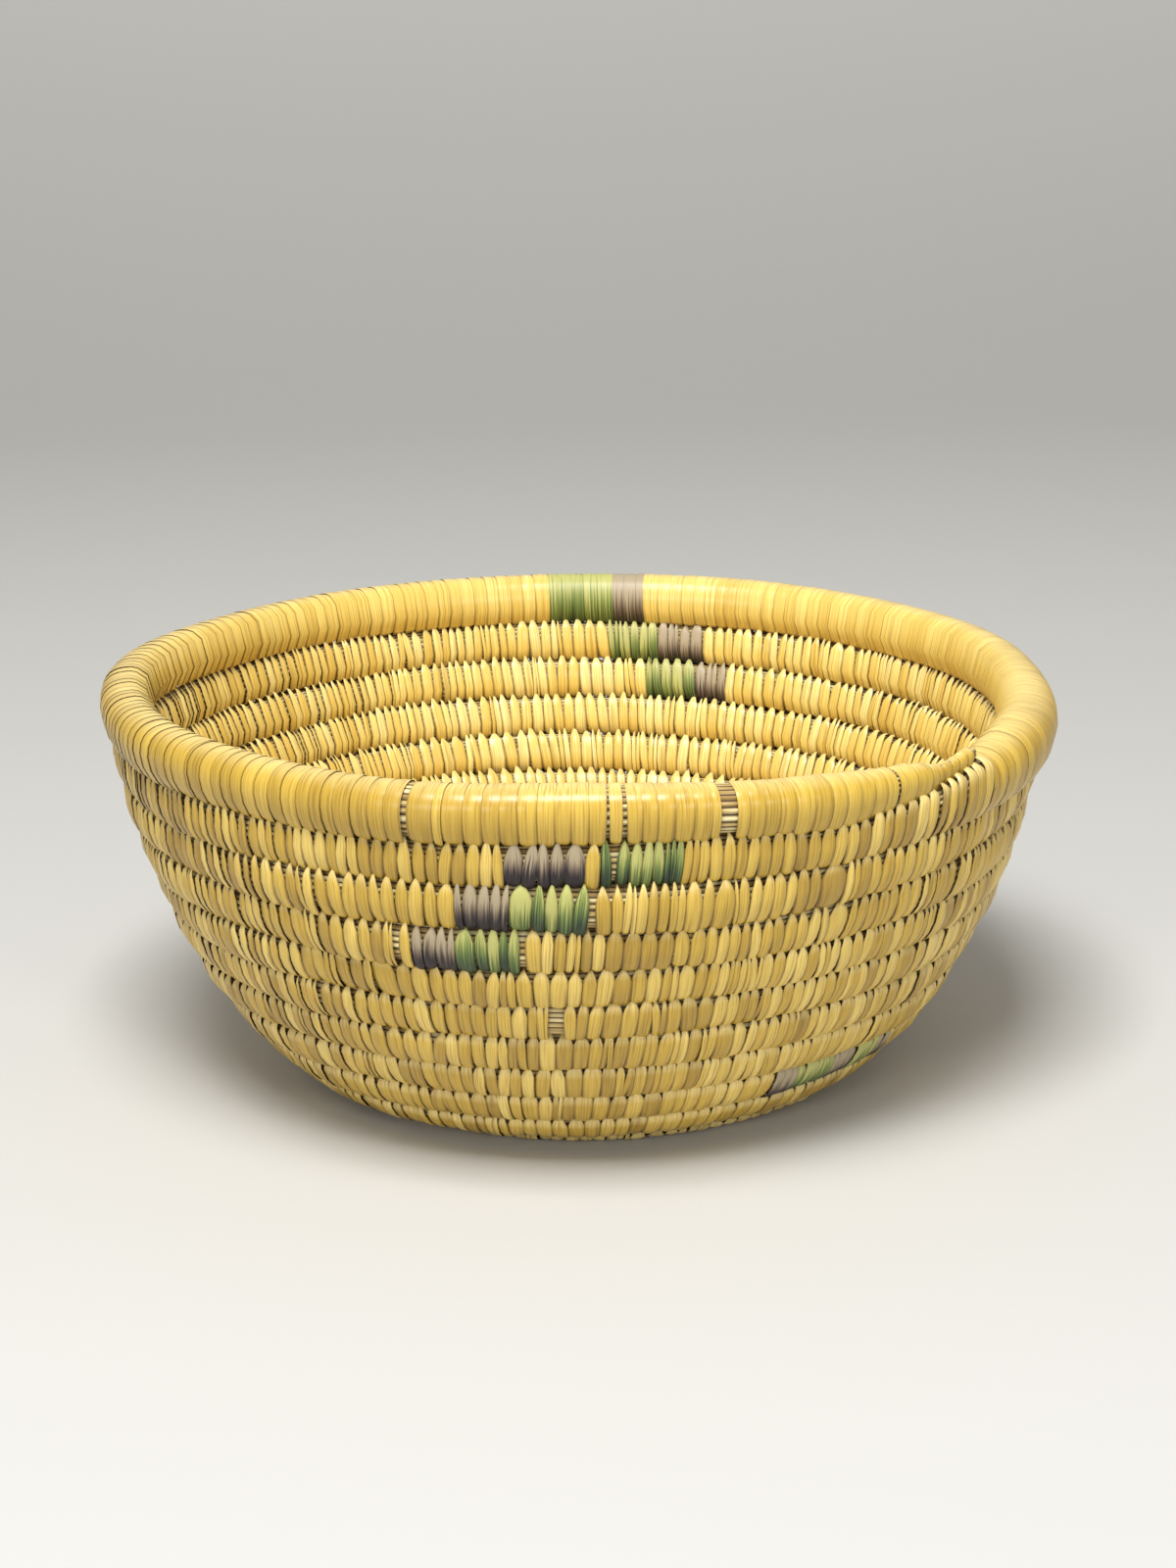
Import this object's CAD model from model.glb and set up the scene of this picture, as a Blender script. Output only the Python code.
"""A coiled grass basket, dressed for its photograph. Sizes are in millimetres until a mesh is made."""

import math

import bpy
import numpy as np
from mathutils import Matrix, Vector


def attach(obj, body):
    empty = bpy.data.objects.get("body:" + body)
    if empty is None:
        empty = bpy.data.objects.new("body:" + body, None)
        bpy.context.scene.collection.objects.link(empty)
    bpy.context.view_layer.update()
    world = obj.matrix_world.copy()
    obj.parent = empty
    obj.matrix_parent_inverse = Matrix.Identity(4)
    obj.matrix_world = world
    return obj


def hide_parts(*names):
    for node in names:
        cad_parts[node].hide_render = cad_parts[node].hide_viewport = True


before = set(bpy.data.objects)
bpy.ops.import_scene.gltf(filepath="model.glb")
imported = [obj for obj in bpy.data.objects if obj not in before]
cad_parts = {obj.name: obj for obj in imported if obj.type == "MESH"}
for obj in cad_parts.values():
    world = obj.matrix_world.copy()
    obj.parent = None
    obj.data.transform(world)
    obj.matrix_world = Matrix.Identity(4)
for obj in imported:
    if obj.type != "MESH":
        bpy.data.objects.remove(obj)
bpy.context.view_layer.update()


# The grass bundle
# Dry grass stalks about 1.3 mm thick, laid together and spliced as the coil grows. The one bundle
# winds in a spiral from the middle of the base up the wall to the rim, and shows as pale straws
# through the gaps between the strips that bind it.

# The bowl, as in the CAD part, measured to the middle of the coil except for its height.
bowl_height = 98.0
rim_radius = 105.0
base_radius = 61.0
foot_reach = 10.0  # how far the base's straight line carries into the curve of the wall
shoulder_reach = 52.5  # how far the rim's straight line carries down into that curve
rim_lean = math.radians(5)  # outwards

# The coil as wrapped, as in the CAD part.
coil_width = 9.5
start_width = 2.5
swell_turns = 2.0  # over which the coil thickens from its start
rim_start_width = 13.0  # the rim, where its turn starts beneath the tip
rim_width = 11.5  # the rim, where the tip starts to taper
rim_growth_turns = 0.2  # over which the wall's coil thickens into the rim
tip_width = 3.0
tip_length = 32.0
tip_azimuth = -33.0  # degrees, 0 along +X and counterclockwise seen from above
course_gap = 0.5  # between one course and the next
centre_hole = 0.15  # radius that the first turn leaves open


def smoothstep(value, low, high):
    """0 below low and 1 above high, with a smooth cubic step between."""
    share = np.clip((value - low) / (high - low), 0, 1)
    return share * share * (3 - 2 * share)


def wall_profile():
    """Radius and height of the middle of the wall, and the distance along it: a level line along
    the base, a cubic Bezier curve up to the rim, and the rim's own straight line past it."""
    base_steps, curve_steps, rim_steps = 400, 1200, 100
    up_the_wall = np.array([math.sin(rim_lean), math.cos(rim_lean)])
    foot = np.array([base_radius, 0.0])
    rim = np.array([rim_radius, bowl_height - coil_width / 2 - rim_width / 2])
    share = np.linspace(0, 1, curve_steps)[:, None]
    curve = (
        (1 - share) ** 3 * foot
        + 3 * (1 - share) ** 2 * share * (foot + [foot_reach, 0])
        + 3 * (1 - share) * share**2 * (rim - shoulder_reach * up_the_wall)
        + share**3 * rim
    )
    level = np.linspace(0, 1, base_steps)[:-1, None] * foot
    past_rim = rim + np.linspace(0, 1, rim_steps)[1:, None] * rim_width * up_the_wall
    points = np.vstack([level, curve, past_rim])
    steps = np.hypot(*np.diff(points, axis=0).T)
    return points, np.concatenate([[0], np.cumsum(steps)])


profile_points, profile_distance = wall_profile()
profile_slope = np.gradient(profile_points, profile_distance, axis=0)
profile_slope /= np.linalg.norm(profile_slope, axis=1)[:, None]
rim_distance = profile_distance[-1] - rim_width
tip_turns = tip_length / (2 * math.pi * rim_radius)


def wrapped_width(turn, turns):
    """Width of the coil as wrapped: it swells from its start, thickens to the rim and tapers off."""
    body = start_width + (coil_width - start_width) * smoothstep(turn, 0, swell_turns)
    rim = rim_start_width + (rim_width - rim_start_width) * np.maximum(0, turn - turns + 1)
    rim_start = turns - 1 - rim_growth_turns / 2
    width = body + (rim - body) * smoothstep(turn, rim_start, rim_start + rim_growth_turns)
    return width + (tip_width - width) * smoothstep(turn, turns - tip_turns, turns)


def distance_along_wall(turn, turns):
    """Distance along the profile to the coil's middle: all the courses below it with their gaps,
    and half of its own width. The first turn opens evenly round the hole."""
    edge = centre_hole + (turn % 1) * (start_width + course_gap)
    for back in range(1, int(np.max(turn)) + 1):
        edge = edge + np.where(turn >= back, wrapped_width(turn - back, turns) + course_gap, 0)
    return edge + wrapped_width(turn, turns) / 2


# As many turns as bring the coil to the rim's height where its tip starts to taper, found by
# correcting a first guess a few times over.
coil_turns = rim_distance / (coil_width + course_gap)
for correction in range(12):
    reached = distance_along_wall(np.array([coil_turns - tip_turns]), coil_turns)[0]
    coil_turns += (rim_distance - reached) / (coil_width + course_gap)

# Near its end the coil was drawn down by hand, and the courses under it were pressed with it. Each
# pair holds how many turns back from the end, and how far the coil's upper edge lies lower there.
# The bundle is cut off at the first pair.
drawn_down = np.array([
    (0.009, 2.6), (0.018, 4.2), (0.029, 8.0), (0.038, 9.0), (0.065, 7.2), (0.08, 5.8),
    (0.12, 4.0), (0.16, 2.7), (0.2, 2.3), (0.25, 1.2), (0.34, 0),
    (0.9, 0), (0.975, -1.0), (1.0, 0.6), (1.02, 2.2), (1.035, 3.6), (1.075, 4.5),
    (1.12, 2.4), (1.2, 1.4), (1.3, 0),
    (1.9, 0), (2.0, 2.0), (2.08, 2.9), (2.12, 2.3), (2.18, 0.4), (2.3, 0),
    (2.95, 0), (3.0, 0.6), (3.08, 2.9), (3.12, 2.8), (3.18, 0.8), (3.3, 0),
    (3.95, 0), (4.08, 2.0), (4.12, 2.0), (4.3, 0),
    (4.95, 0), (5.1, 1.0), (5.3, 0),
])
coil_end = coil_turns - drawn_down[0, 0]

# The coil's middle and half its width at places less than half a millimetre apart along it. A
# course's lower edge goes down with the upper edge of the course below.
turn_table = np.linspace(0, coil_turns, 16000)
upper_drop = np.interp(coil_turns - turn_table, *drawn_down.T)
lower_drop = np.interp(coil_turns - turn_table + 1, *drawn_down.T)
distance_table = distance_along_wall(turn_table, coil_turns)
drawn_distance_table = distance_table - (upper_drop + lower_drop) / 2
half_width_table = wrapped_width(turn_table, coil_turns) / 2 - (upper_drop - lower_drop) / 2


def azimuth_of(turn):
    """Azimuth of the coil, in radians: one whole turn for each course, ending at the tip."""
    return math.radians(tip_azimuth) - 2 * math.pi * (coil_turns - turn)


def radius_of(turn):
    """Radius of the coil's middle."""
    distance = np.interp(turn, turn_table, drawn_distance_table)
    return np.interp(distance, profile_distance, profile_points[:, 0])


def half_width_of(turn):
    """Half the coil's width, where it is drawn down too."""
    return np.interp(turn, turn_table, half_width_table)


# The wander of the hand, in slow waves. Each has its height in millimetres, how many there are to
# a course, its phase at the start, and what each turn adds to the phase, both in radians. The waves
# grow over a few turns, where the coil leaves the floor.
outward_waves = [(0.4, 5, 0.4, 0.3), (0.3, 9, 0, 1.9)]
upward_waves = [(0.2, 3, 0, 0.7), (0.15, 7, 0, 2.3)]
wander_turns = (6, 10)


def wander(waves, azimuth, turn):
    """Sum of the sine waves at an azimuth, from nothing on the base to their full height above."""
    total = 0
    for height, number, phase, shift in waves:
        total = total + height * np.sin(number * azimuth + phase + shift * turn)
    return total * smoothstep(turn, *wander_turns)


def on_coil(turn, along, outward):
    """Points beside the coil's middle, so many millimetres up the wall and outwards from it, moved
    by the wander of the hand and kept above the floor."""
    distance = np.interp(turn, turn_table, drawn_distance_table)
    radius = np.interp(distance, profile_distance, profile_points[:, 0])
    height = np.interp(distance, profile_distance, profile_points[:, 1]) + coil_width / 2
    slope_out = np.interp(distance, profile_distance, profile_slope[:, 0])
    slope_up = np.interp(distance, profile_distance, profile_slope[:, 1])
    azimuth = azimuth_of(turn)
    reach = radius + wander(outward_waves, azimuth, turn) + slope_out * along + slope_up * outward
    rise = height + wander(upward_waves, azimuth, turn) + slope_up * along - slope_out * outward
    return np.stack([reach * np.cos(azimuth), reach * np.sin(azimuth), np.maximum(rise, 0)], axis=-1)


def rounded_box(bend, roundness):
    """Place on a rounded box round the coil, up the wall and outwards in half widths: the powers of
    the sine and cosine of the bend, which is -90 degrees below, 0 outside and 90 above."""
    up, out = np.sin(np.radians(bend)), np.cos(np.radians(bend))
    return np.sign(up) * np.abs(up) ** roundness, np.sign(out) * np.abs(out) ** roundness


def grid_quads(rows, columns, round_rows, round_columns):
    """Corner indices of the faces of a grid of points, row by row. A round direction closes."""
    row = np.arange(rows if round_rows else rows - 1)[:, None]
    column = np.arange(columns if round_columns else columns - 1)[None, :]
    next_row, next_column = (row + 1) % rows, (column + 1) % columns
    corners = [
        row * columns + column,
        row * columns + next_column,
        next_row * columns + next_column,
        next_row * columns + column,
    ]
    return np.stack(np.broadcast_arrays(*corners), axis=-1).reshape(-1, 4)


stalks_round = 22
columns_a_stalk = 3
stalk_ridge = 0.7
ring_spacing = 6.0
longest_step = 0.05  # turns, near the middle of the base
shortest_step = 0.001  # turns
first_ring = 0.02  # turns
last_ring = coil_end - 0.002
bundle_roundness = 0.9
drift_angle = 10  # degrees
drift_rate = 5.1  # radians for each turn
strip_thickness = 0.5
strip_slack = 0.2
pressed_share = 0.35  # of the drawing in, where one course lies on another


def bundle_surface():
    """Points, faces and UV map of the coil, drawn in by the strips, with a ridge for each stalk: the
    surface rises and falls as the size of a cosine round the section, and the ridges drift slowly
    along the coil. A point at each end closes it."""
    turns = [first_ring]
    while turns[-1] < last_ring - shortest_step:
        step = min(ring_spacing / (2 * math.pi * float(radius_of(turns[-1]))), longest_step)
        turns.append(min(turns[-1] + step, last_ring))
    turns = np.array(turns)[:, None]
    columns = stalks_round * columns_a_stalk
    spots = np.arange(columns)[None, :] / columns
    bend = -90 + 360 * spots + drift_angle * np.sin(turns * drift_rate)
    up, out = rounded_box(bend, bundle_roundness)
    ridge = np.abs(np.cos(math.pi * stalks_round * spots))
    drawn_in = strip_thickness + strip_slack + stalk_ridge * (1 - ridge)
    half = half_width_of(turns)
    along = up * (half + course_gap / 2 - drawn_in * pressed_share)
    points = on_coil(np.broadcast_to(turns, bend.shape), along, out * (half - drawn_in))

    # The UV map counts stalks across, from crease to crease, and millimetres along the coil.
    rows = len(turns)
    length = np.cumsum(np.concatenate([[0], np.linalg.norm(np.diff(points[:, 0], axis=0), axis=1)]))
    column = np.arange(columns)
    corners = np.stack([column, column + 1, column + 1, column], axis=-1)
    across = (corners + columns_a_stalk / 2) / columns_a_stalk
    lengthwise = np.stack([length[:-1], length[:-1], length[1:], length[1:]], axis=-1)
    uv = np.stack(np.broadcast_arrays(across[None], lengthwise[:, None]), axis=-1).reshape(-1, 2)

    # Each end is a fan of faces with two sides on the ring and a corner at its middle.
    quads = [grid_quads(rows, columns, False, True)]
    spot = np.arange(0, columns, 2)
    first_middle, last_middle = rows * columns, rows * columns + 1
    for row, middle, order in ((0, first_middle, (2, 1, 0)), (rows - 1, last_middle, (0, 1, 2))):
        fan = [row * columns + (spot + step) % columns for step in order]
        quads.append(np.stack([np.full(len(spot), middle), *fan], axis=-1))
    quads = np.vstack(quads)
    uv = np.vstack([uv, np.zeros((quads.size - len(uv), 2))])
    points = np.vstack([points.reshape(-1, 3), points[0].mean(axis=0), points[-1].mean(axis=0)])
    return points, quads, uv


def linear(hex_colour):
    """The linear colour of an sRGB hex value."""
    parts = [int(hex_colour[i : i + 2], 16) / 255 for i in (1, 3, 5)]
    return [p / 12.92 if p <= 0.04045 else ((p + 0.055) / 1.055) ** 2.4 for p in parts] + [1.0]


def add_node(material, kind, inputs=None, stops=(), **settings):
    """Adds a node, gives it its settings, and sets each input or links it where it is a socket. An
    input goes by its name, or by its number where names repeat, as the two colours 6 and 7 of a mix
    do. A colour ramp, which starts with two stops, takes its (place, colour) stops."""
    node = material.node_tree.nodes.new(kind)
    for name, value in settings.items():
        setattr(node, name, value)
    for name, value in (inputs or {}).items():
        if isinstance(value, bpy.types.NodeSocket):
            material.node_tree.links.new(value, node.inputs[name])
        else:
            node.inputs[name].default_value = value
    for extra_stop in stops[2:]:
        node.color_ramp.elements.new(0.5)
    for number, (place, colour) in enumerate(stops):
        node.color_ramp.elements[number].position = place
        node.color_ramp.elements[number].color = linear(colour)
    return node


def new_material(name):
    """A material with an empty node tree."""
    material = bpy.data.materials.new(name)
    material.use_nodes = True
    material.node_tree.nodes.clear()
    return material


millimetre = 0.001  # in metres


def dry_stalks():
    """Dry grass stalks, unpolished: matte, each pale or brown with finer lines along it and a dark
    crease at each side. A stalk has another tone than its neighbours, and again after some 20 mm."""
    lines_a_stalk, line_length = 4.0, 20.0
    tone_scale, tone_squeeze = 1.7, 0.03
    material = new_material("dry_grass_stalks")
    uv = add_node(material, "ShaderNodeUVMap", uv_map="UVMap")
    places = add_node(material, "ShaderNodeSeparateXYZ", {"Vector": uv.outputs[0]})
    stalk = add_node(material, "ShaderNodeMath", {0: places.outputs["X"]}, operation="FLOOR")
    stretch = add_node(
        material,
        "ShaderNodeMath",
        {0: places.outputs["Y"], 1: tone_squeeze},
        operation="MULTIPLY",
    )
    spot = add_node(
        material, "ShaderNodeCombineXYZ", {"X": stalk.outputs[0], "Y": stretch.outputs[0]}
    )
    tone = add_node(
        material,
        "ShaderNodeTexNoise",
        {"Vector": spot.outputs[0], "Scale": tone_scale, "Detail": 0.0},
    )
    lines = add_node(
        material,
        "ShaderNodeMapping",
        {"Vector": uv.outputs[0], "Scale": (lines_a_stalk, 1 / line_length, 1)},
    )
    streaks = add_node(
        material, "ShaderNodeTexNoise", {"Vector": lines.outputs[0], "Scale": 1.0, "Detail": 3.0}
    )
    mixed = add_node(
        material,
        "ShaderNodeMath",
        {0: streaks.outputs["Fac"], 1: 0.4, 2: tone.outputs["Fac"]},
        operation="MULTIPLY_ADD",
    )
    tones = add_node(
        material,
        "ShaderNodeValToRGB",
        {"Fac": mixed.outputs[0]},
        stops=[(0.5, "#9c7d45"), (0.65, "#bda265"), (0.82, "#e0d09a")],
    )
    side = add_node(
        material, "ShaderNodeMath", {0: places.outputs["X"], 1: 0.5}, operation="PINGPONG"
    )
    crease = add_node(
        material,
        "ShaderNodeValToRGB",
        {"Fac": side.outputs[0]},
        stops=[(0.05, "#5a4222"), (0.25, "#ffffff")],
    )
    colour = add_node(
        material,
        "ShaderNodeMix",
        {"Factor": 1.0, 6: tones.outputs[0], 7: crease.outputs[0]},
        data_type="RGBA",
        blend_type="MULTIPLY",
    )
    bump = add_node(
        material,
        "ShaderNodeBump",
        {"Height": streaks.outputs["Fac"], "Strength": 0.4, "Distance": 0.3 * millimetre},
    )
    shader = add_node(
        material,
        "ShaderNodeBsdfPrincipled",
        {"Base Color": colour.outputs["Result"], "Roughness": 0.65, "Normal": bump.outputs[0]},
    )
    add_node(material, "ShaderNodeOutputMaterial", {"Surface": shader.outputs[0]})
    return material


crease_angle = math.radians(60)


def add_piece(name, points, quads, uv, marks, material):
    """Makes one mesh object from points in millimetres and four-sided faces, smooth up to the crease
    angle, with its UV map and its named marks, one number a point, and rides it on the basket."""
    mesh = bpy.data.meshes.new(name)
    mesh.vertices.add(len(points))
    mesh.vertices.foreach_set("co", (points * millimetre).ravel())
    mesh.loops.add(quads.size)
    mesh.loops.foreach_set("vertex_index", quads.astype(np.int32).ravel())
    mesh.polygons.add(len(quads))
    mesh.polygons.foreach_set("loop_start", np.arange(0, quads.size, 4, dtype=np.int32))
    mesh.polygons.foreach_set("use_smooth", np.ones(len(quads), dtype=bool))
    mesh.update(calc_edges=True)
    mesh.set_sharp_from_angle(angle=crease_angle)
    mesh.uv_layers.new(name="UVMap").data.foreach_set("uv", uv.ravel())
    for mark, values in marks.items():
        layer = mesh.attributes.new(mark, "FLOAT", "POINT")
        layer.data.foreach_set("value", values.astype(np.float32).ravel())
    mesh.materials.append(material)
    piece = bpy.data.objects.new(name, mesh)
    bpy.context.scene.collection.objects.link(piece)
    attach(piece, "root")
    return piece


bundle = add_piece("grass_bundle", *bundle_surface(), {}, dry_stalks())
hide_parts("foundation_coil")


# The strips
# Flat strips of leaf, two to four millimetres wide, wrapped side by side round the bundle. Each
# goes down between two strips of the course below, which pinches the tops of those two, and its
# own lower end hangs over them as a rounded tongue.

sewing = np.random.default_rng(11)
wall_strip = 2.7
rim_strip = 3.45
tip_strip = 2.25
width_spread = 0.15  # of the logarithm of a strip's width
rim_begins = (1.05, 0.95)  # turns before the end, from wall strips to rim strips
tip_begins = (0.044, 0.034)  # turns before the end, from rim strips to tip strips
first_strip = 0.05  # turns
last_strip = coil_end - 0.004
tightest_radius = 3.0  # to which the strips in the middle of the base are spaced

# As shares of a strip's width: the furthest that it is moved to lie between two strips below, the
# least step from strip to strip, how far the hand misses, and where a strip is split. As a share
# of the wall's strips: those that are split in two.
wall_pull, rim_pull = 0.45, 0.15
least_step = 0.6
missed_by = 0.05
split_at = (0.35, 0.65)
split_share = 0.1


def strip_edges():
    """The turns at which one strip ends and the next begins. Strip follows strip at their random
    widths, and each is moved to the middle between two strips of the course below where that is
    near. A few on the wall are split into a narrow pair."""
    middles = [first_strip]
    while middles[-1] < last_strip:
        here = middles[-1]
        on_rim = float(smoothstep(coil_turns - here, *rim_begins))
        on_tip = float(smoothstep(coil_turns - here, *tip_begins))
        usual = wall_strip + on_rim * (rim_strip - wall_strip + on_tip * (tip_strip - rim_strip))
        width = usual * float(sewing.lognormal(0, width_spread))
        width_turns = width / (2 * math.pi * max(tightest_radius, float(radius_of(here))))
        aim = here + width_turns
        if aim > 1:
            below = int(np.searchsorted(middles, aim - 1))
            pairs = [(middles[i - 1], middles[i]) for i in (below - 1, below, below + 1) if i > 0]
            between = [1 + (left + right) / 2 for left, right in pairs]
            pull = (wall_pull + (rim_pull - wall_pull) * on_rim) * width_turns
            earliest = here + least_step * width_turns
            near = [place for place in between if abs(place - aim) < pull and place > earliest]
            if near:
                nearest = min(near, key=lambda place: abs(place - aim))
                aim = nearest + float(sewing.normal(0, missed_by)) * width_turns
        middles.append(aim)
    middles = np.array(middles)
    edges = (middles[1:] + middles[:-1]) / 2
    split = (sewing.random(len(edges) - 1) < split_share) & (edges[:-1] < coil_turns - 1)
    shares = sewing.uniform(*split_at, len(edges) - 1)
    extra = (edges[:-1] + np.diff(edges) * shares)[split]
    return np.sort(np.concatenate([edges, extra]))


def turn_at(course, azimuth):
    """The turn of the coil at an azimuth, so many courses down from the rim."""
    return coil_turns - (tip_azimuth - azimuth) % 360 / 360 - course


# Runs of dyed strips, as in the CAD part, each with its strips in order along the coil and the
# millimetres that they cover. The run at the foot starts so many turns after the coil leaves the
# base, and each other one so many courses down from the rim, at its azimuth.
foot_turns = 1.967
foot_strips = [("purple_1", 5.6), ("green_1", 10.2), ("purple_2", 7.2), ("green_2", 8), ("purple_3", 4)]
dyed_runs = [
    ("front_lower", 3, -109.9, [("purple", 9), ("green", 13.8)]),
    ("back_lower", 2, 66.3, [("purple", 8.8), ("green", 14)]),
    ("front_middle", 2, -104.1, [("purple", 10.6), ("green", 17)]),
    ("back_upper", 1, 70.6, [("purple", 12.6), ("green", 13.8)]),
    ("front_upper", 1, -98.4, [("purple", 15.7), ("natural", 2.8), ("green", 16.6)]),
    ("back_rim", 0, 80, [("purple", 8.6), ("green", 17.6)]),
]
steps_per_turn = 24
floor_clearance = 0.3


def base_turns():
    """The turns at which the coil starts to climb and at which it is clear of the floor, on the
    steps of the CAD part, whose lowest corner there is half a width inwards and one down."""
    step = np.arange(int(coil_turns * steps_per_turn), 0, -1)
    turn = coil_turns - step / steps_per_turn
    distance = np.interp(turn, turn_table, distance_table)
    middle = np.interp(distance, profile_distance, profile_points[:, 1]) + coil_width / 2
    slope_out = np.interp(distance, profile_distance, profile_slope[:, 0])
    slope_up = np.interp(distance, profile_distance, profile_slope[:, 1])
    corner = np.maximum(slope_up, 0.5 * slope_up + slope_out)
    lowest = middle - wrapped_width(turn, coil_turns) / 2 * corner
    climbing = turn[distance > base_radius][0]
    return climbing, turn[(turn > climbing) & (lowest > floor_clearance)][0]


def stretches():
    """(CAD node, dye, first turn, last turn) of each stretch of strips, in order along the coil: the
    natural strips of the base, then each run of dyed strips with the natural ones before it, and
    the rim."""
    climbing, base_end = base_turns()
    runs = [("foot", climbing + foot_turns, foot_strips)]
    runs += [(run, turn_at(course, azimuth), strips) for run, course, azimuth, strips in dyed_runs]
    found = [("base_stitching", "natural", 0.0, base_end)]
    reached = base_end
    for number, (run, start, strips) in enumerate(runs):
        node = f"wall_stitching_{number}" if number else "foot_stitching"
        found.append((node, "natural", reached, start))
        reached = start
        around = 2 * math.pi * float(radius_of(start))
        for strip, length in strips:
            found.append((f"{run}_{strip}", strip.split("_")[0], reached, reached + length / around))
            reached += length / around
    found.append(("rim_stitching", "natural", reached, coil_turns))
    return found


# Faults of the hand, seen in the photograph: (courses down from the rim, first azimuth, last one).
# Where a strip is missing the straws of the bundle show. Folded strips cover the width of two.
missing_strips = [
    (0, -75.1, -73.2), (0, -87.3, -86.9), (0, -85.6, -85.05), (0, -109.0, -108.4), (0, -52.7, -52.1),
    (1, -86.75, -86.2), (2, -89.3, -88.5), (3, -112.0, -111.3), (3, -97.2, -96.5), (5, -94.5, -92.5),
]
folded_strips = [
    (0, -108.3, -105.6), (0, -141.7, -138.9), (0, -52.1, -49.6), (0, -49.6, -46.8),
    (1, -89.55, -88.0), (2, -75.3, -72.8), (2, -62.0, -58.7), (3, -60.0, -57.2), (4, -116.2, -113.0),
]
narrowest_strip = 0.6  # that is left beside a fault


def sewn_strips():
    """First and last turn of each strip, with the faults of the hand put in. The edge nearest to
    the start of each stretch is moved there."""
    edges = strip_edges()
    for node, dye, first, last in stretches():
        edges[np.argmin(np.abs(edges - first))] = first
    for course, first, last in missing_strips + folded_strips:
        start, end = turn_at(course, first), turn_at(course, last)
        margin = narrowest_strip / (2 * math.pi * float(radius_of(start)))
        edges = edges[(edges < start - margin) | (edges > end + margin)]
        edges = np.sort(np.append(edges, [start, end]))
    kept = np.ones(len(edges) - 1, dtype=bool)
    for course, first, last in missing_strips:
        middle = (turn_at(course, first) + turn_at(course, last)) / 2
        kept[np.searchsorted(edges, middle) - 1] = False
    return edges[:-1][kept], edges[1:][kept]


# Each strip's place, its width in millimetres, and how far it is one of the rim, of the tip, of
# the course under the tip, or of the middle of the base, from 0 to 1.
strip_start, strip_stop = sewn_strips()
strip_middle = (strip_start + strip_stop) / 2
strip_width = (strip_stop - strip_start) * 2 * math.pi * radius_of(strip_middle)
strip_count = len(strip_middle)
courses_down = coil_turns - strip_middle
on_rim = (courses_down < 1 + coil_turns - coil_end).astype(float)
on_tip = smoothstep(courses_down, 0.05, 0.035)
under_tip = smoothstep(courses_down, 1.08, 1.05) * (1 - on_rim)
in_centre = smoothstep(strip_middle, 0.8, 0.3)


def by_course(courses, values):
    """A value for each strip, between the values that hold so many courses down from the end."""
    return np.interp(courses_down, courses, values)


def by_hand(least, most):
    """A random factor for each strip."""
    return sewing.uniform(least, most, strip_count)


# The outside of a strip. Its top is a pointed arch from so far up, and its lower end a rounded
# tongue, both given as shares of its full width. The points are long high on the wall and blunter
# further down, where they also rise less past the crease, in millimetres.
arch_start = by_course([1.03, 1.08, 2, 5, 8], [0.75, 0.3, 0.36, 0.55, 0.75])
arch_start = arch_start + sewing.normal(0, 0.06, strip_count)
top_share = by_course([1, 3, 5, 8], [0.08, 0.12, 0.3, 0.55]) * by_hand(0.4, 1.7)
top_share = np.maximum(np.clip(top_share, 0.05, 0.9), 0.4 * under_tip)
tongue_share = by_course([1, 4, 8], [0.35, 0.5, 0.75])
top_rise = by_course([1, 2, 5, 9, 12], [1.7, 1.3, 0.9, 0.5, 0.2]) * by_hand(0.6, 1.3)
tongue_drop = by_course([0, 5, 9, 12], [1.2, 1.0, 0.5, 0.2]) * by_hand(0.7, 1.2) + in_centre

# The inside, where the tops are long points and the lower ends straight.
inner_share = np.clip(sewing.normal(0.14, 0.05, strip_count), 0.05, 0.4)
inner_share = np.maximum(inner_share, 0.85 * under_tip)
inner_rise = by_hand(0.5, 1.4)
inner_drop = 0.2 + in_centre

# How a strip lies: how far its edges dip, its tilt from edge to edge and how proud it stands, all
# in millimetres, how far its top leans along the coil, and its tone from 0, brown, to 1, pale. On
# the rim the strips are rounder and more even.
edge_dip = np.where(on_rim, 0.12 + 0.2 * on_tip, by_course([3, 6], [0.42, 0.36])) * by_hand(0.5, 1.5)
edge_dip = edge_dip * np.clip(strip_width / wall_strip, 0.3, 1.3)
roundness = 0.8 + 0.08 * on_rim
strip_lean = sewing.normal(0.3, 0.22, strip_count) * (1 - 0.7 * on_rim)
strip_lean += 0.22 * np.sin(strip_middle * 61) * np.sin(strip_middle * 23) * (1 - 0.7 * on_rim)
strip_tilt = sewing.normal(0.07, 0.08, strip_count) * (1 - on_rim + 0.6 * on_tip) + 0.07 * on_rim
strip_proud = sewing.normal(0.0, 0.09, strip_count) * (1 - 0.7 * on_rim + 1.3 * on_tip)
strip_tone = 0.5 - 0.13 * on_rim + (sewing.random(strip_count) - 0.5) * (1 - 0.5 * on_rim)

# A strip's points: degrees round the coil, closer where its ends curve, and shares across it.
section_bends = np.array([
    -90, -76, -62, -53, -44, -20, 6, 28, 45, 59, 70, 80, 90, 103, 118, 146, 195, 240,
])
strip_sides = np.array([-1.0, -0.6, 0.0, 0.6, 1.0])

# Heights on the coil, in half widths, from which an end narrows or comes free, and the powers that
# give the arch, the inner point and the dip of the edges their curves.
tongue_start = 0.62
inner_start = 0.5
free_start = 0.45
arch_power, point_power, dip_power = 2.1, 1.2, 2.4

overlap = 1.05  # a strip's width, as a share of the space that is free for it
inner_dip = 0.5  # the dip of the edges inside, as a share of the dip outside
top_stands_off, tongue_stands_off = 0.8, 0.25
strip_length = 34.0  # once round the coil
leaf_length, leaf_scatter = 50.0, 977.0  # so that no two strips show the same place of the leaf


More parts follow.
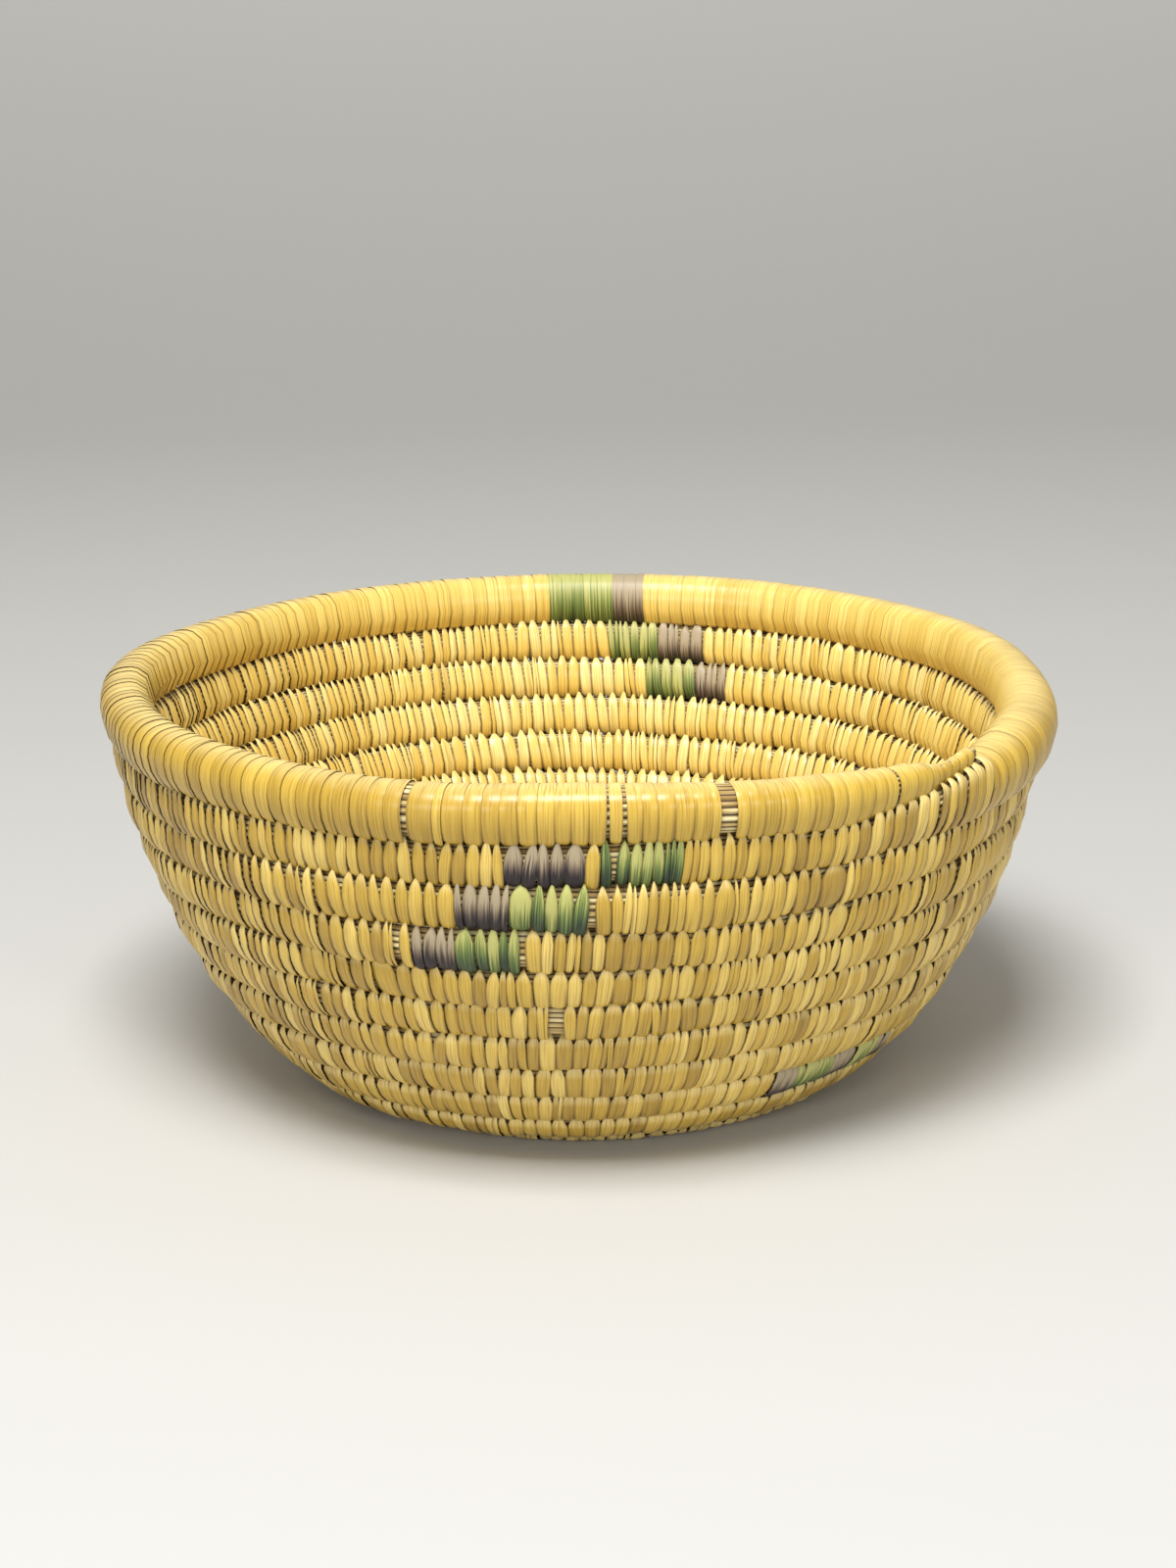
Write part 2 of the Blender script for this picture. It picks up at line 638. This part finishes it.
def width_share(up, outside, chosen):
    """Share of its full width that a strip has at each height. Outside, a pointed arch above and a
    rounded tongue, a quarter of an ellipse, below. Inside, a long point above and a straight end."""
    shapes = (arch_start, top_share, tongue_share, inner_share, on_rim)
    start, top, tongue, inner, rim = [values[chosen][:, None] for values in shapes]
    arch = 1 - (1 - top) * np.clip((up - start) / (1 - start), 0, 1) ** arch_power
    arch = arch * (1 - rim) + rim
    tongue_length = 1 - tongue_start - 0.06 * rim
    round_end = np.sqrt(1 - np.clip((-up - tongue_start) / tongue_length, 0, 1) ** 2)
    point = 1 - (1 - inner) * np.clip((up - inner_start) / (1 - inner_start), 0, 1) ** point_power
    point = point * (1 - rim) + rim
    return np.where(outside, arch * (tongue + (1 - tongue) * round_end), point)


def strip_loops(chosen):
    """Points, faces, UV map and marks of closed loops of strip round the coil, one for each chosen
    strip: a grid of five sides across by the section's bends round, where the fifth face closes the
    strip underneath. The tops rise past the crease between two courses and the tongues hang over
    it, so that they interlock. The edges dip by a power of the share across, and the strip leans by
    the sine of the bend."""
    shapes = (top_rise, inner_rise, tongue_drop, inner_drop, on_rim, half_width_of(strip_middle))
    rise, inner, drop, inner_end, rim, half = [values[chosen][:, None] for values in shapes]
    outside = (section_bends <= 90)[None, :]
    up, out = rounded_box(section_bends[None, :], roundness[chosen][:, None])
    free = smoothstep(np.abs(up), free_start, 1) * (1 - rim * (up > 0))
    reach = free * np.where(up > 0, np.where(outside, rise, inner), -np.where(outside, drop, inner_end))
    stand_off = free * np.where(up > 0, top_stands_off, tongue_stands_off) * np.where(outside, 1, -1)

    def spread(values):
        """One number a strip, spread over the strip's grid."""
        return values[chosen][:, None, None]

    side = strip_sides[None, None, :]
    bend = np.radians(section_bends)[None, :, None]
    half_strip = spread(strip_stop - strip_start) / 2 * overlap
    lean = spread(strip_lean) / (2 * math.pi * spread(radius_of(strip_middle)))
    turn = spread(strip_middle) + side * half_strip * width_share(up, outside, chosen)[:, :, None]
    turn = turn + lean * np.sin(bend)
    dip = spread(edge_dip) * np.where(outside, 1, inner_dip)[:, :, None]
    lift = -dip * np.abs(side) ** dip_power + spread(strip_tilt) * side + spread(strip_proud)
    along = (up * (half + course_gap / 2) + reach)[:, :, None] + lift * np.sin(bend)
    outward = (out * half + stand_off)[:, :, None] + lift * np.cos(bend)
    points = on_coil(turn, along, outward)

    strips, rows, columns = turn.shape
    quads = grid_quads(rows, columns, True, True)
    quads = (np.arange(strips)[:, None, None] * rows * columns + quads[None]).reshape(-1, 4)

    # The UV map counts millimetres across and along the strip, from another place for each strip.
    # Its underside lies beyond the far edge.
    across = np.append((strip_sides + 1) / 2, 1.5)
    row = np.arange(rows)
    crosswise = np.stack([across[:-1], across[1:], across[1:], across[:-1]], axis=-1)[None, None]
    lengthwise = np.stack([row, row, row + 1, row + 1], axis=-1)[None, :, None] / rows * strip_length
    place = (strip_middle[chosen] * leaf_scatter % leaf_length)[:, None, None, None]
    width = strip_width[chosen][:, None, None, None]
    uv = np.stack(np.broadcast_arrays(crosswise * width + place * 4, lengthwise + place), axis=-1)

    # The marks tell the leaf its tone, how far it is on the inside of the basket, its level, about
    # -1 at the tongue and 1 at the top, and how near its edge is.
    inward = smoothstep(section_bends, 60, 120)[None, :, None]
    marks = {
        "tone": np.broadcast_to(spread(strip_tone), turn.shape),
        "inward": np.broadcast_to(inward * (1 - 0.15 * spread(on_rim)), turn.shape),
        "level": np.broadcast_to((up * (1 - 0.2 * rim))[:, :, None], turn.shape),
        "edge": np.broadcast_to(np.abs(side) * (1 - 0.1 * spread(on_rim - on_tip)), turn.shape),
    }
    return points.reshape(-1, 3), quads, uv.reshape(-1, 2), marks


def wrap_coil(dye, leaf):
    """Makes one piece of each stretch of strips of one dye, in place of the CAD node there."""
    for node, stretch_dye, first, last in stretches():
        if stretch_dye == dye:
            chosen = np.flatnonzero((strip_middle >= first) & (strip_middle < last))
            name = node.replace("stitching", "strips") + "_wrapped"
            strips = add_piece(name, *strip_loops(chosen), leaf)
            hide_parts(node)


# The natural strips
# Strips of dry leaf, not dyed, on the base, on the wall between the dyed blocks and on the rim.
# They are straw yellow with fine fibres along them and a soft gloss, duller outside than inside,
# worn paler where they bend over the coil, and dusty along their edges.

fibres_a_millimetre = 3.2
fibre_length = 12.5


def fibre_pattern(material):
    """Fine fibres about 0.3 mm apart along the strip, from noise drawn out 40 times lengthwise."""
    uv = add_node(material, "ShaderNodeUVMap", uv_map="UVMap")
    stretch = add_node(
        material,
        "ShaderNodeMapping",
        {"Vector": uv.outputs[0], "Scale": (fibres_a_millimetre, 1 / fibre_length, 1)},
    )
    return add_node(
        material, "ShaderNodeTexNoise", {"Vector": stretch.outputs[0], "Scale": 1.0, "Detail": 3.0}
    )


def leaf_surface(material, colour, fibres, roughness):
    """The shader of a dry leaf: a soft gloss, a bump that follows its fibres, and brown dust along
    the edges, where two strips meet, a little wider low on the coil."""
    edge = add_node(material, "ShaderNodeAttribute", attribute_name="edge")
    level = add_node(material, "ShaderNodeAttribute", attribute_name="level")
    low_edge = add_node(
        material,
        "ShaderNodeMath",
        {0: level.outputs["Fac"], 1: -0.12, 2: edge.outputs["Fac"]},
        operation="MULTIPLY_ADD",
    )
    dust = add_node(
        material,
        "ShaderNodeValToRGB",
        {"Fac": low_edge.outputs[0]},
        stops=[(0.7, "#ffffff"), (1.0, "#6b5230")],
    )
    dusty = add_node(
        material,
        "ShaderNodeMix",
        {"Factor": 0.8, 6: colour, 7: dust.outputs[0]},
        data_type="RGBA",
        blend_type="MULTIPLY",
    )
    bump = add_node(
        material,
        "ShaderNodeBump",
        {"Height": fibres.outputs["Fac"], "Strength": 0.3, "Distance": 0.2 * millimetre},
    )
    shader = add_node(
        material,
        "ShaderNodeBsdfPrincipled",
        {"Base Color": dusty.outputs["Result"], "Roughness": roughness, "Normal": bump.outputs[0]},
    )
    add_node(material, "ShaderNodeOutputMaterial", {"Surface": shader.outputs[0]})


def natural_leaf():
    """Dry straw-coloured leaf, split into strips and smooth on the outside. Each strip has a tone
    of its own, paler and browner fibres, and a worn, paler top where it bends over the coil."""
    material = new_material("dry_natural_leaf")
    tone = add_node(material, "ShaderNodeAttribute", attribute_name="tone")
    inward = add_node(material, "ShaderNodeAttribute", attribute_name="inward")
    level = add_node(material, "ShaderNodeAttribute", attribute_name="level")
    fibres = fibre_pattern(material)
    outside = add_node(
        material,
        "ShaderNodeValToRGB",
        {"Fac": tone.outputs["Fac"]},
        stops=[(0.0, "#b3943e"), (0.35, "#cbab46"), (0.7, "#dabb56"), (1.0, "#eed47a")],
    )
    inside = add_node(
        material,
        "ShaderNodeValToRGB",
        {"Fac": tone.outputs["Fac"]},
        stops=[(0.0, "#eaca69"), (0.4, "#f3d779"), (0.8, "#f9e28c"), (1.0, "#fdea9e")],
    )
    sides = add_node(
        material,
        "ShaderNodeMix",
        {"Factor": inward.outputs["Fac"], 6: outside.outputs[0], 7: inside.outputs[0]},
        data_type="RGBA",
    )
    worn = add_node(
        material,
        "ShaderNodeMapRange",
        {"Value": level.outputs["Fac"], "From Min": 0.55, "From Max": 1.0, "To Max": 0.55},
        interpolation_type="SMOOTHSTEP",
    )
    worn_colour = add_node(
        material,
        "ShaderNodeMix",
        {"Factor": worn.outputs["Result"], 6: sides.outputs["Result"], 7: linear("#f4e6ae")},
        data_type="RGBA",
    )
    shades = add_node(
        material,
        "ShaderNodeValToRGB",
        {"Fac": fibres.outputs["Fac"]},
        stops=[(0.3, "#a48c5a"), (0.5, "#eee3c8"), (0.7, "#ffffff")],
    )
    colour = add_node(
        material,
        "ShaderNodeMix",
        {"Factor": 0.7, 6: worn_colour.outputs["Result"], 7: shades.outputs[0]},
        data_type="RGBA",
        blend_type="MULTIPLY",
    )
    leaf_surface(material, colour.outputs["Result"], fibres, 0.32)
    return material


wrap_coil("natural", natural_leaf())


# The dyed strips
# The same leaf, dyed purple or green before it is wrapped, in short runs that step from course to
# course. The dye leaves it a little rougher, is deepest low on the outside, and has faded.


def dyed_leaf(name, shares, stops):
    """Dyed leaf. Its place on the ramp from deep dye to faded is the sum of its level, how far
    inside it lies, its fibres, some of which have taken no dye, and its tone, each by its share,
    less what the fullest dye takes off."""
    fullest_dye = -0.35
    material = new_material(name)
    level = add_node(material, "ShaderNodeAttribute", attribute_name="level")
    inward = add_node(material, "ShaderNodeAttribute", attribute_name="inward")
    tone = add_node(material, "ShaderNodeAttribute", attribute_name="tone")
    fibres = fibre_pattern(material)
    faded = fullest_dye
    for source, share in zip((level, inward, fibres, tone), shares):
        total = add_node(
            material,
            "ShaderNodeMath",
            {0: source.outputs["Fac"], 1: share, 2: faded},
            operation="MULTIPLY_ADD",
        )
        faded = total.outputs[0]
    colour = add_node(material, "ShaderNodeValToRGB", {"Fac": faded}, stops=stops)
    leaf_surface(material, colour.outputs[0], fibres, 0.45)
    return material


purple_leaf = dyed_leaf(
    "purple_dyed_leaf",
    shares=(0.8, 0.3, 1.8, 0.15),
    stops=[(0.32, "#1f151b"), (0.52, "#54463f"), (0.75, "#7d6c58"), (1.0, "#a69678")],
)
green_leaf = dyed_leaf(
    "green_dyed_leaf",
    shares=(0.42, 0.2, 1.6, 0.55),
    stops=[(0.3, "#20331d"), (0.58, "#546934"), (0.8, "#7f8a42"), (1.0, "#b5b368")],
)
wrap_coil("purple", purple_leaf)
wrap_coil("green", green_leaf)


# The floor
# A pale card that lies flat under the basket and sweeps up behind it into the backdrop. It is
# stage, not part of the basket. Its sizes are in metres, as those of the lamps and camera are.

floor_half_span = 5.0
floor_front = -4.0
sweep_start = 0.9
sweep_radius = 1.2
sweep_points = 25
wall_top = 5.0


def pale_card():
    """Matte card, pale on the floor and paler up the backdrop, where less light falls."""
    material = new_material("pale_card")
    place = add_node(material, "ShaderNodeNewGeometry")
    height = add_node(material, "ShaderNodeSeparateXYZ", {"Vector": place.outputs["Position"]})
    colour = add_node(
        material,
        "ShaderNodeValToRGB",
        {"Fac": height.outputs["Z"]},
        stops=[(0.0, "#c2c1bd"), (0.6, "#f6f5f2")],
    )
    shader = add_node(
        material, "ShaderNodeBsdfPrincipled", {"Base Color": colour.outputs[0], "Roughness": 0.9}
    )
    add_node(material, "ShaderNodeOutputMaterial", {"Surface": shader.outputs[0]})
    return material


def swept_floor():
    """Level from well in front to behind the basket, then a quarter circle up to a wall."""
    turn = np.linspace(0, math.pi / 2, sweep_points)
    sweep_end = sweep_start + sweep_radius
    depth = np.concatenate([[floor_front], sweep_start + sweep_radius * np.sin(turn), [sweep_end]])
    height = np.concatenate([[0], sweep_radius * (1 - np.cos(turn)), [wall_top]])
    left = np.stack([np.full(len(depth), -floor_half_span), depth, height], axis=-1)
    right = left * [-1, 1, 1]
    points = np.stack([left, right], axis=1).reshape(-1, 3)
    return points, grid_quads(len(depth), 2, False, False)


floor_points, floor_quads = swept_floor()
floor_mesh = bpy.data.meshes.new("floor")
floor_mesh.from_pydata(floor_points.tolist(), [], floor_quads.tolist())
floor_mesh.polygons.foreach_set("use_smooth", np.ones(len(floor_quads), dtype=bool))
floor_mesh.materials.append(pale_card())
floor = bpy.data.objects.new("floor", floor_mesh)
bpy.context.scene.collection.objects.link(floor)


# The light
# A broad soft lamp overhead, a little in front, two weaker ones low at the left and right, and a
# dim even light from all round.

basket_middle = Vector((0, 0, 0.05))
world_strength = 0.46


def add_lamp(name, place, size, watts):
    """A square area lamp at a place, turned to the basket."""
    light = bpy.data.lights.new(name, "AREA")
    light.size = size
    light.energy = watts
    lamp = bpy.data.objects.new(name, light)
    lamp.location = place
    lamp.rotation_euler = (basket_middle - Vector(place)).to_track_quat("-Z", "Y").to_euler()
    bpy.context.scene.collection.objects.link(lamp)


add_lamp("overhead_lamp", place=(-0.1, -0.55, 1.2), size=0.5, watts=20)
add_lamp("left_lamp", place=(-0.95, -1.7, 0.65), size=0.35, watts=7)
add_lamp("right_lamp", place=(0.95, -1.7, 0.65), size=0.35, watts=6.5)

world = bpy.data.worlds.new("soft_light")
bpy.context.scene.world = world
world.use_nodes = True
world.node_tree.nodes["Background"].inputs["Color"].default_value = linear("#f2f2f0")
world.node_tree.nodes["Background"].inputs["Strength"].default_value = world_strength
bpy.context.scene.view_settings.view_transform = "Standard"


# The camera
# A camera in front of the basket, looking down over its rim, and rolled by a degree. Its place and
# lens give the rim and the foot the outlines that they have in the photograph.

camera_place = Vector((0.00166, -0.66572, 0.25691))
camera_target = Vector((0.00166, 0, 0.06404))
camera_roll = -0.017  # radians

camera_data = bpy.data.cameras.new("camera")
camera_data.sensor_width = 36
camera_data.lens = 67.5
camera = bpy.data.objects.new("camera", camera_data)
camera.matrix_world = (
    Matrix.Translation(camera_place)
    @ (camera_target - camera_place).to_track_quat("-Z", "Y").to_matrix().to_4x4()
    @ Matrix.Rotation(camera_roll, 4, "Z")
)
bpy.context.scene.collection.objects.link(camera)
bpy.context.scene.camera = camera
